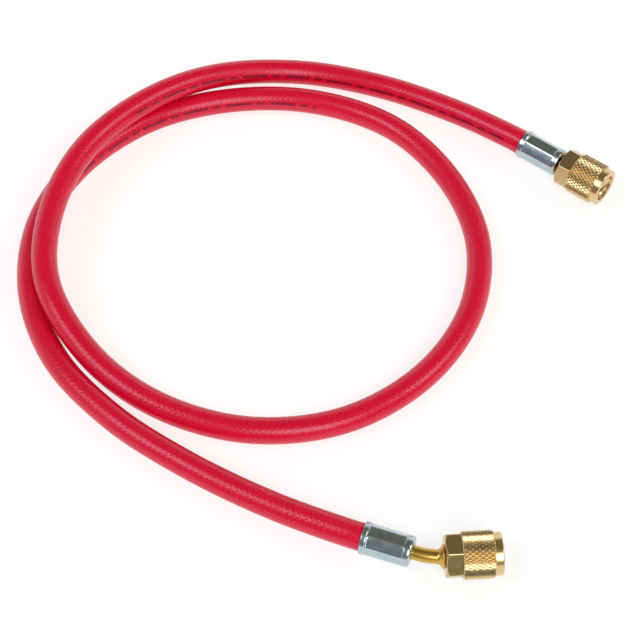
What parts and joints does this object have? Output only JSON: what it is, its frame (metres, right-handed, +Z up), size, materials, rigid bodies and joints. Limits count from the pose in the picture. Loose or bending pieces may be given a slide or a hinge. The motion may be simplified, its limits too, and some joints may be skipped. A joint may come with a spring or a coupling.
{
  "type": "refrigerant charging hose",
  "caption": "Flexible red refrigerant charging hose lying in loose turns, crimped to a bent and a straight brass stem, each with a knurled swivel coupling nut.",
  "frame": {"origin": "centre of the bounding box, on the floor that the hose lies on", "axes": "+Z up from the floor; +X to the right and +Y away in the picture's view, so the couplings point to +X and the turns lie to -X"},
  "size_m": [0.2714, 0.2802, 0.0239],
  "materials": {
    "hose_cover": "satin red cover, faint cross ripples of the braid beneath, a dark printed dash line",
    "zinc_plated_steel": "bright zinc plate with soft bluish reflections",
    "stem_brass": "polished golden brass",
    "nut_brass": "satin brass, cut knurl with bright crests",
    "gasket": "matt black"
  },
  "bodies": {
    "root": {"hose": "hose_cover", "ferrule_bent_end": "zinc_plated_steel", "ferrule_straight_end": "zinc_plated_steel", "stem_bent_end": "stem_brass", "stem_straight_end": "stem_brass", "gasket_bent_end": "gasket", "gasket_straight_end": "gasket", "core_depressor": "stem_brass"},
    "bent_end_nut": {"nut_bent_end": "nut_brass"},
    "straight_end_nut": {"nut_straight_end": "nut_brass"}
  },
  "joints": [
    {"name": "bent_end_nut_spin", "type": "hinge", "parent": "root", "child": "bent_end_nut", "pos_m": [0.04845, -0.1309, 0.0096], "axis": [0.998, 0.0628, 0], "continuous": true},
    {"name": "straight_end_nut_spin", "type": "hinge", "parent": "root", "child": "straight_end_nut", "pos_m": [0.11274, 0.07284, 0.0096], "axis": [0.7902, -0.6129, 0], "continuous": true}
  ]
}
